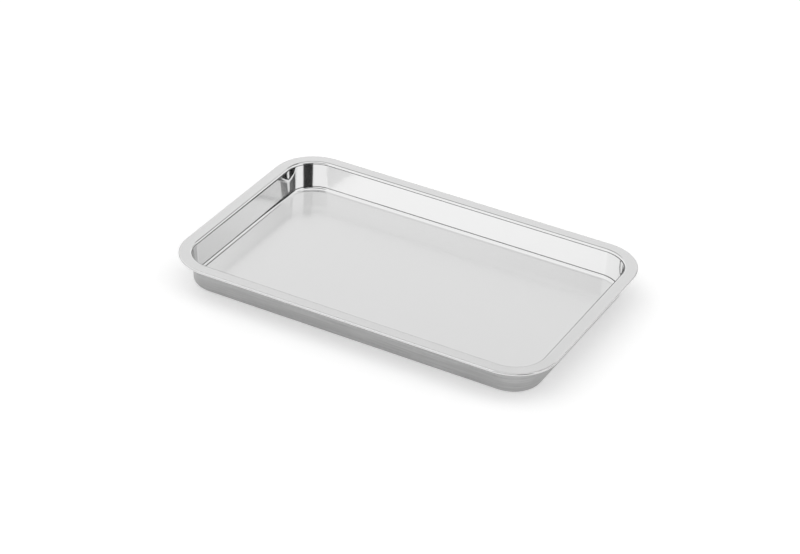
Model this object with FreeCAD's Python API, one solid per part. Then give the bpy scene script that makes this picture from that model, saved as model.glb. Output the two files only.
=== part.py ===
import FreeCAD, Part
import math
import os

# Pressed stainless steel serving tray: one deep-drawn sheet with a flat flange, whose
# outer edge is rolled down round a closed loop of stiffening wire.
# Millimetres.  +X along the length, +Y towards the back, +Z up.
# The origin is the centre of the underside, where the tray stands.

# Driving dimensions
length = 400.0            # over the rolled edge
width = 260.0             # over the rolled edge
height = 31.0             # underside to the top of the flange
corner_radius = 45.0      # plan radius of the rolled edge at the corners
sheet = 0.7               # thickness of the steel
flange_to_bend = 11.0     # rolled edge to the start of the bend into the wall
top_bend_radius = 2.8     # upper surface, flange to wall
floor_fillet_radius = 3.6  # upper surface, wall to floor
wall_draft = 3.0          # degrees from upright, so that the tray leaves its die

# Rolled edge and the wire closed inside it
wire_radius = 0.6
wire_clearance = 0.05
wire_butt_gap = 0.4       # between the two cut ends of the loop, middle of the back
roll_end_angle = 375.0    # degrees round the roll, 90 is its top and 180 its outside

roll_radius = wire_radius + wire_clearance + sheet

up = FreeCAD.Vector(0, 0, 1)
half_length = length / 2
half_width = width / 2
straight_x = length - 2 * corner_radius
straight_y = width - 2 * corner_radius


def point(inset, z):
    """A point of the section, as the distance in from the rolled edge, and the height."""
    return FreeCAD.Vector(inset - corner_radius, 0, z)


def on_arc(centre, radius, degrees):
    angle = math.radians(degrees)
    inset, z = centre
    return point(inset + radius * math.cos(angle), z + radius * math.sin(angle))


def line(start, end):
    return Part.LineSegment(start, end).toShape()


def arc(centre, radius, first, last):
    """An arc of the section about centre, between two angles in degrees."""
    middle = (first + last) / 2
    ends = on_arc(centre, radius, first), on_arc(centre, radius, last)
    return Part.Arc(ends[0], on_arc(centre, radius, middle), ends[1]).toShape()


def bend_centres():
    """Centres of the top bend and of the floor fillet, for a wall tangent to both."""
    draft = math.radians(wall_draft)
    top = (flange_to_bend, height - top_bend_radius)
    fillet_z = sheet + floor_fillet_radius
    radii = top_bend_radius + floor_fillet_radius
    drop = top[1] - fillet_z + radii * math.sin(draft)
    fillet_inset = top[0] + radii * math.cos(draft) + drop * math.tan(draft)
    return top, (fillet_inset, fillet_z)


def section_face():
    """The sheet's section: rolled edge, flange, top bend, wall and floor fillet."""
    top, fillet = bend_centres()
    roll = (roll_radius, height - roll_radius)
    hollow_radius = roll_radius - sheet
    under_bend_radius = top_bend_radius - sheet
    under_fillet_radius = floor_fillet_radius + sheet
    wall_side = 180 + wall_draft
    edges = [
        line(on_arc(roll, roll_radius, 90), on_arc(top, top_bend_radius, 90)),
        arc(top, top_bend_radius, 90, wall_draft),
        line(on_arc(top, top_bend_radius, wall_draft),
             on_arc(fillet, floor_fillet_radius, wall_side)),
        arc(fillet, floor_fillet_radius, wall_side, 270),
        line(on_arc(fillet, floor_fillet_radius, 270), on_arc(fillet, under_fillet_radius, 270)),
        arc(fillet, under_fillet_radius, 270, wall_side),
        line(on_arc(fillet, under_fillet_radius, wall_side),
             on_arc(top, under_bend_radius, wall_draft)),
        arc(top, under_bend_radius, wall_draft, 90),
        line(on_arc(top, under_bend_radius, 90), on_arc(roll, hollow_radius, 90)),
        arc(roll, hollow_radius, 90, roll_end_angle),
        line(on_arc(roll, hollow_radius, roll_end_angle), on_arc(roll, roll_radius, roll_end_angle)),
        arc(roll, roll_radius, roll_end_angle, 90),
    ]
    return Part.Face(Part.Wire(edges))


def wire_face():
    centre = point(roll_radius, height - roll_radius)
    ring = Part.Circle(centre, FreeCAD.Vector(0, 1, 0), wire_radius)
    return Part.Face(Part.Wire([ring.toShape()]))


def round_the_plan(face, gap_at_back=0.0):
    """Carry a section along the four sides and round the four corners.

    The section is drawn for the left side, with a corner's centre at its origin.
    """
    corners = [(-1, 1), (1, 1), (1, -1), (-1, -1)]
    straights = [straight_x, straight_y, straight_x, straight_y]
    pieces = []
    for turn, (side_x, side_y) in enumerate(corners):
        centre = FreeCAD.Vector(side_x * straight_x / 2, side_y * straight_y / 2, 0)
        placed = face.copy()
        placed.rotate(FreeCAD.Vector(0, 0, 0), up, -90 * turn)
        placed.translate(centre)
        pieces.append(placed.revolve(centre, up, -90))
        placed.rotate(centre, up, -90)
        along = FreeCAD.Vector(math.cos(math.pi / 2 * turn), -math.sin(math.pi / 2 * turn), 0)
        if turn == 0 and gap_at_back:
            run = (straights[turn] - gap_at_back) / 2
            pieces.append(placed.extrude(along * run))
            placed.translate(along * (run + gap_at_back))
            pieces.append(placed.extrude(along * run))
        else:
            pieces.append(placed.extrude(along * straights[turn]))
    return pieces


def floor_plate():
    """The flat floor inside the fillet."""
    inset = bend_centres()[1][0]
    radius = corner_radius - inset
    low = FreeCAD.Vector(inset - half_length, inset - half_width, 0)
    plate = Part.makeBox(length - 2 * inset, width - 2 * inset, sheet, low)
    upright = [edge for edge in plate.Edges if edge.BoundBox.ZLength > sheet / 2]
    return plate.makeFillet(radius, upright)


def fuse(pieces):
    solid = pieces[0].multiFuse(pieces[1:]).removeSplitter()
    return solid.Solids[0] if len(solid.Solids) == 1 else solid


def tray_pan():
    return fuse(round_the_plan(section_face()) + [floor_plate()])


def rim_wire():
    return fuse(round_the_plan(wire_face(), wire_butt_gap))


def main():
    os.makedirs("parts", exist_ok=True)
    for name, make in (("tray_pan", tray_pan), ("rim_wire", rim_wire)):
        shape = make()
        box = shape.BoundBox
        print(name, "solids", len(shape.Solids), "valid", shape.isValid(), "faces", len(shape.Faces),
              "volume mm3", round(shape.Volume, 1),
              "box", [round(v, 3) for v in (box.XMin, box.YMin, box.ZMin, box.XMax, box.YMax, box.ZMax)])
        shape.exportStep(f"parts/{name}.step")


main()
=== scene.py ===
import math

import bmesh
import bpy
from mathutils import Euler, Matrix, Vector


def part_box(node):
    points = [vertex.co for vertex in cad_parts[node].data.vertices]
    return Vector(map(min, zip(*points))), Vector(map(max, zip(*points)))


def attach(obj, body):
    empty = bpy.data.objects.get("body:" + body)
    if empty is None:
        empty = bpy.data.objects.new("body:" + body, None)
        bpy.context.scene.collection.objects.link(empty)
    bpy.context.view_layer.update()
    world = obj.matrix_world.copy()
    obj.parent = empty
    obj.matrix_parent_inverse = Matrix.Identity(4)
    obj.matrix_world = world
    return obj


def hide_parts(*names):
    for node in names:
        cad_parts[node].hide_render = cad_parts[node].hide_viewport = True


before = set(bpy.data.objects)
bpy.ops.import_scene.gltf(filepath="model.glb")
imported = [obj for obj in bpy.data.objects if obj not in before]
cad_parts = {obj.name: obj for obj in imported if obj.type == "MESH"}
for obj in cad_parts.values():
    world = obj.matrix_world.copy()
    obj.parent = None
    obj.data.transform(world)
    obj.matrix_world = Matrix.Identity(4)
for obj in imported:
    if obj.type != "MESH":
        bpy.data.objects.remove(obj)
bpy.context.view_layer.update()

pan_low, pan_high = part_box("tray_pan")
length = pan_high.x - pan_low.x
width = pan_high.y - pan_low.y
height = pan_high.z - pan_low.z

# The tray's section, in metres and degrees: the same driving sizes as its pressing tool.
corner_radius = 0.045
sheet = 0.0007
flange_to_bend = 0.011
top_bend_radius = 0.0028
floor_fillet_radius = 0.0036
wall_draft = 3.0          # from upright
roll_radius = 0.00135
roll_end_angle = 375.0    # round the roll, where 90 is its top and 180 its outside

# How finely the pressing is drawn: steps round each corner, and along the short and the long sides.
corner_steps = 24
side_steps = (16, 26)

# Whitenesses are linear.
paper_whiteness = 0.82
paper_glow = 0.38         # the paper lies on a light table
paper_radius = 12.0


# ---------------------------------------------------------------- shader maths


class Socket:
    """A node socket that adds up, multiplies and subtracts as Math nodes."""

    def __init__(self, shader, link):
        self.shader = shader
        self.link = link

    def _math(self, operation, first, second):
        return self.shader.node("ShaderNodeMath", {"operation": operation}, {0: first, 1: second})["Value"]

    def __add__(self, other):
        return self._math("ADD", self, other)

    def __radd__(self, other):
        return self._math("ADD", other, self)

    def __sub__(self, other):
        return self._math("SUBTRACT", self, other)

    def __rsub__(self, other):
        return self._math("SUBTRACT", other, self)

    def __mul__(self, other):
        return self._math("MULTIPLY", self, other)

    def __rmul__(self, other):
        return self._math("MULTIPLY", other, self)

    def above(self, edge, softness):
        """0 below the edge and 1 above it, with a smooth step as wide as softness."""
        settings = {"interpolation_type": "SMOOTHSTEP"}
        values = {"Value": self, "From Min": edge - softness / 2, "From Max": edge + softness / 2}
        return self.shader.node("ShaderNodeMapRange", settings, values)["Result"]


class Shader:
    """A node tree that is built by calling it."""

    def __init__(self, tree):
        self.tree = tree
        tree.nodes.clear()

    def node(self, kind, settings=None, values=None):
        """A new node, as its outputs by name. Values are numbers or links for its inputs."""
        made = self.tree.nodes.new(kind)
        for name, value in (settings or {}).items():
            setattr(made, name, value)
        for name, value in (values or {}).items():
            if isinstance(value, Socket):
                self.tree.links.new(value.link, made.inputs[name])
            else:
                made.inputs[name].default_value = value
        return {socket.name: Socket(self, socket) for socket in made.outputs}

    def noise(self, scale, detail=2.0, stretch=(1.0, 1.0, 1.0)):
        """Noise in the piece's own metres. Stretch squeezes it along an axis, so that it streaks across."""
        place = self.node("ShaderNodeTexCoord")["Object"]
        spread = self.node("ShaderNodeMapping", None, {"Vector": place, "Scale": stretch})["Vector"]
        values = {"Vector": spread, "Scale": scale, "Detail": detail}
        return self.node("ShaderNodeTexNoise", None, values)["Fac"]

    def bump(self, grain, depth, strength=1.0):
        values = {"Height": grain, "Distance": depth, "Strength": strength}
        return self.node("ShaderNodeBump", None, values)["Normal"]

    def degrees(self, operation, *inputs):
        """An angle worked out by a Math node, in degrees."""
        angle = self.node("ShaderNodeMath", {"operation": operation}, dict(enumerate(inputs)))["Value"]
        return angle * (180 / math.pi)

    def background(self, strength):
        values = {"Color": (1.0, 1.0, 1.0, 1.0), "Strength": strength}
        return self.node("ShaderNodeBackground", None, values)["Background"]

    def finish(self, values):
        """Send a surface with these values to the material's output."""
        surface = self.node("ShaderNodeBsdfPrincipled", None, values)["BSDF"]
        self.node("ShaderNodeOutputMaterial", None, {"Surface": surface})


def new_material(name):
    material = bpy.data.materials.new(name)
    material.use_nodes = True
    return material, Shader(material.node_tree)


# ---------------------------------------------------------------- finishes


def steel(name, whiteness, roughness, dappled, grain_scale, grain_depth=0.0):
    """Bare stainless steel with a fine grain, glossier in some patches than in others."""
    material, shader = new_material(name)
    grain = shader.noise(grain_scale, detail=3.0)
    patches = shader.noise(45.0)
    shader.finish({
        "Base Color": (whiteness, whiteness, whiteness, 1.0),
        "Metallic": 1.0,
        "Roughness": roughness + dappled * (patches - 0.5) + dappled * (grain - 0.5),
        "Normal": shader.bump(grain, grain_depth),
    })
    return material


def satin_steel():
    return steel("satin_steel", whiteness=0.77, roughness=0.18, dappled=0.03,
                 grain_scale=900.0, grain_depth=2e-6)


def flange_steel():
    return steel("flange_steel", whiteness=0.745, roughness=0.22, dappled=0.05,
                 grain_scale=900.0, grain_depth=2e-6)


def polished_steel():
    return steel("polished_steel", whiteness=0.88, roughness=0.04, dappled=0.01, grain_scale=400.0)


def burnished_steel():
    return steel("burnished_steel", whiteness=0.74, roughness=0.08, dappled=0.02, grain_scale=400.0)


def drawn_wire():
    return steel("drawn_wire", whiteness=0.5, roughness=0.35, dappled=0.05,
                 grain_scale=300.0, grain_depth=2e-6)


def brushed_shaded_outer_steel():
    """The outside of the walls, with the streaks of a brushing belt that ran round the tray. Its steel is
    painted much darker than the steel inside: painted shade for the dim paper it reflects.
    """
    material, shader = new_material("brushed_shaded_outer_steel")
    streaks = shader.noise(22.0, detail=4.0, stretch=(1.0, 1.0, 40.0))
    scratches = shader.noise(120.0, stretch=(1.0, 1.0, 30.0))
    # Painted shade: a base of 0.43, far below the inner steel, makes the outside look as if it reflected
    # paper in shade. The streaks and scratches vary it at random.
    whiteness = 0.43 + 0.24 * (streaks - 0.5) + 0.12 * (scratches - 0.5)
    channels = {"Red": whiteness, "Green": whiteness, "Blue": whiteness}
    shader.finish({
        "Base Color": shader.node("ShaderNodeCombineColor", None, channels)["Color"],
        "Metallic": 1.0,
        "Roughness": 0.3 + 0.1 * (streaks - 0.5),
        "Normal": shader.bump(scratches, depth=4e-6),
    })
    return material


# ---------------------------------------------------------------- the pressing


def bend_centres():
    """Centres of the top bend and of the floor fillet, for a wall tangent to both."""
    draft = math.radians(wall_draft)
    top = (flange_to_bend, height - top_bend_radius)
    fillet_z = sheet + floor_fillet_radius
    radii = top_bend_radius + floor_fillet_radius
    drop = top[1] - fillet_z + radii * math.sin(draft)
    fillet_inset = top[0] + radii * math.cos(draft) + drop * math.tan(draft)
    return top, (fillet_inset, fillet_z)


def arc(centre, radius, first, last, steps, facing=1):
    """Points of an arc between two angles, as (inset, z, normal's inset, normal's z).

    The normals point away from the centre, or towards it when facing is -1.
    """
    found = []
    for step in range(steps + 1):
        angle = math.radians(first + (last - first) * step / steps)
        across = math.cos(angle)
        up = math.sin(angle)
        found.append((centre[0] + radius * across, centre[1] + radius * up, facing * across, facing * up))
    return found


def section():
    """The sheet's closed section, as (finish of the arc, finish of the flat after it, points).

    It starts at the foot of the floor fillet on the upper side, runs up the wall, over the
    flange and round the roll, and comes back underneath.
    """
    top, fillet = bend_centres()
    roll = (roll_radius, height - roll_radius)
    wall_side = 180 + wall_draft
    return [
        ("burnished", "polished", arc(fillet, floor_fillet_radius, 270, wall_side, steps=16, facing=-1)),
        ("burnished", "flange", arc(top, top_bend_radius, wall_draft, 90, steps=16)),
        ("burnished", "burnished", arc(roll, roll_radius, 90, roll_end_angle, steps=36)),
        ("brushed", "brushed", arc(roll, roll_radius - sheet, roll_end_angle, 90, steps=16, facing=-1)),
        ("brushed", "brushed", arc(top, top_bend_radius - sheet, 90, wall_draft, steps=8, facing=-1)),
        ("brushed", "brushed", arc(fillet, floor_fillet_radius + sheet, wall_side, 270, steps=12)),
    ]


def plan_stations():
    """Where the section stands round the tray, anticlockwise, as (centre of the corner, outwards).

    Along a side the centre moves from one corner's centre to the next.
    """
    half_x = length / 2 - corner_radius
    half_y = width / 2 - corner_radius
    stations = []
    corners = [(half_x, -half_y, -90), (half_x, half_y, 0), (-half_x, half_y, 90), (-half_x, -half_y, 180)]
    for index, (x, y, start) in enumerate(corners):
        for step in range(corner_steps + 1):
            angle = math.radians(start + 90 * step / corner_steps)
            stations.append((Vector((x, y)), Vector((math.cos(angle), math.sin(angle)))))
        next_x, next_y, _ = corners[(index + 1) % 4]
        outward = stations[-1][1]
        for step in range(1, side_steps[index % 2]):
            share = step / side_steps[index % 2]
            centre = Vector((x, y)).lerp(Vector((next_x, next_y)), share)
            stations.append((centre, outward.copy()))
    return stations


def pressed_tray(finishes):
    """The whole pressing as one closed mesh, with exact normals for clean reflections."""
    stations = plan_stations()
    slots = list(finishes)
    rings = []
    bands = []
    for on_arc, after_arc, points in section():
        rings += points
        bands += [on_arc] * (len(points) - 1) + [after_arc]
    shape = bmesh.new()
    normals = []
    grid = []
    for inset, z, across, up in rings:
        row = []
        for centre, outward in stations:
            place = centre + outward * (corner_radius - inset)
            row.append(shape.verts.new((place.x, place.y, z)))
            normals.append((-outward.x * across, -outward.y * across, up))
        grid.append(row)

    def add_face(corners, finish):
        face = shape.faces.new(corners)
        face.material_index = slots.index(finish)
        face.smooth = True

    for lower, upper, finish in zip(grid, grid[1:], bands):
        for turn in range(len(stations)):
            after = (turn + 1) % len(stations)
            add_face((lower[turn], upper[turn], upper[after], lower[after]), finish)
    add_face(grid[0], "satin")
    add_face(grid[-1][::-1], "brushed")
    mesh = bpy.data.meshes.new("pressed_tray")
    shape.to_mesh(mesh)
    shape.free()
    mesh.normals_split_custom_set_from_vertices(normals)
    for material in finishes.values():
        mesh.materials.append(material)
    tray = bpy.data.objects.new("pressed_tray", mesh)
    bpy.context.scene.collection.objects.link(tray)
    return tray


# ---------------------------------------------------------------- studio


def paper_floor():
    """A wide sheet of white paper under the tray."""
    mesh = bpy.data.meshes.new("paper_floor")
    shape = bmesh.new()
    bmesh.ops.create_circle(shape, cap_ends=True, segments=64, radius=paper_radius)
    shape.to_mesh(mesh)
    shape.free()
    floor = bpy.data.objects.new("paper_floor", mesh)
    bpy.context.scene.collection.objects.link(floor)
    material, shader = new_material("white_paper")
    shader.finish({
        "Base Color": (paper_whiteness, paper_whiteness, paper_whiteness, 1.0),
        "Roughness": 0.9,
        "Normal": shader.bump(shader.noise(900.0), depth=0.0001, strength=0.2),
        "Emission Color": (1.0, 1.0, 1.0, 1.0),
        "Emission Strength": paper_glow,
    })
    mesh.materials.append(material)


def between(value, low, high, softness):
    """1 between low and high and 0 outside, with smooth steps as wide as softness."""
    return value.above(low, softness) * (1.0 - value.above(high, softness))


def studio_light():
    """A tent of white cloth, bright all round but for a dark opening at the right of the front.

    Directions are in degrees: turn goes round from the front towards the right, and rise goes
    up from the horizon. The cloth starts a little above the paper. Its skirt, the roof and a key
    lamp behind the skirt are brighter, and the left of the back is dimmer. A seam overhead, a gap
    high above the front, and a hem and a fold low down at the back are darker.
    """
    world = bpy.data.worlds.new("light_tent")
    bpy.context.scene.world = world
    world.use_nodes = True
    shader = Shader(world.node_tree)
    direction = shader.node("ShaderNodeTexCoord")["Generated"]
    parts = shader.node("ShaderNodeSeparateXYZ", None, {0: direction})
    x, y, z = parts["X"], parts["Y"], parts["Z"]
    rise = shader.degrees("ARCSINE", z)
    turn = shader.degrees("ARCTAN2", x, 0.0 - y)

    cloth = rise.above(12.5, 4.0)
    skirt = 1.0 - rise.above(28.0, 4.0)
    roof = rise.above(52.0, 10.0)
    key_lamp = between(turn, -31.0, -19.0, 9.0) * skirt
    dim_side = 1.0 - turn.above(-122.0, 14.0)
    brightness = 1.07 - 0.13 * dim_side + 0.16 * skirt + 0.12 * key_lamp + 0.1 * roof

    across_the_seam = x * 0.87 + y * 0.48
    seam = between(across_the_seam, -0.24, 0.5, 0.06) * between(rise, 41.5, 62.0, 4.0)
    opening = between(turn, 37.0, 74.0, 2.0) * (1.0 - rise.above(32.5, 2.0))
    gap = between(turn, -25.0, 40.0, 5.0) * between(rise, 41.0, 62.0, 4.0)
    hem = between(turn, 125.0, 146.3, 3.0) * between(rise, 27.8, 32.0, 2.0)
    fold = between(turn, 150.0, 178.0, 4.0) * between(rise, 20.0, 32.0, 3.0)
    light = cloth * brightness
    for dark_part, darkness in ((opening, 1.0), (seam, 0.85), (gap, 0.8), (hem, 0.8), (fold, 0.6)):
        light = light * (1.0 - darkness * dark_part)
    stray_light = 0.004

    # The steel reflects the tent, and behind the tray there is plain white.
    seen = shader.node("ShaderNodeLightPath")["Is Camera Ray"]
    layers = {0: seen, 1: shader.background(light + stray_light), 2: shader.background(1.0)}
    mixed = shader.node("ShaderNodeMixShader", None, layers)["Shader"]
    shader.node("ShaderNodeOutputWorld", None, {"Surface": mixed})


def camera():
    """A long lens, a little right of the front and a third of the way up."""
    azimuth = math.radians(27.34)
    elevation = math.radians(31.97)
    roll = math.radians(2.71)
    distance = 2.3245
    focus = Vector((0.0099, -0.0356, height))
    level = math.cos(elevation)
    towards_camera = Vector((math.sin(azimuth) * level, -math.cos(azimuth) * level, math.sin(elevation)))
    data = bpy.data.cameras.new("camera")
    data.sensor_width = 36.0
    data.lens = 109.94
    data.clip_start = 0.05
    data.clip_end = 50.0
    seat = bpy.data.objects.new("camera", data)
    seat.location = focus + towards_camera * distance
    seat.rotation_mode = "QUATERNION"
    aim = (-towards_camera).to_track_quat("-Z", "Y")
    seat.rotation_quaternion = aim @ Euler((0, 0, roll)).to_quaternion()
    bpy.context.scene.collection.objects.link(seat)
    bpy.context.scene.camera = seat


# ---------------------------------------------------------------- build


finishes = {
    "satin": satin_steel(),
    "flange": flange_steel(),
    "polished": polished_steel(),
    "burnished": burnished_steel(),
    "brushed": brushed_shaded_outer_steel(),
}
tray = pressed_tray(finishes)
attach(tray, "root")
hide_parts("tray_pan")

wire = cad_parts["rim_wire"]
wire.data.materials.clear()
wire.data.materials.append(drawn_wire())

paper_floor()
studio_light()
camera()
bpy.context.scene.view_settings.view_transform = "Standard"
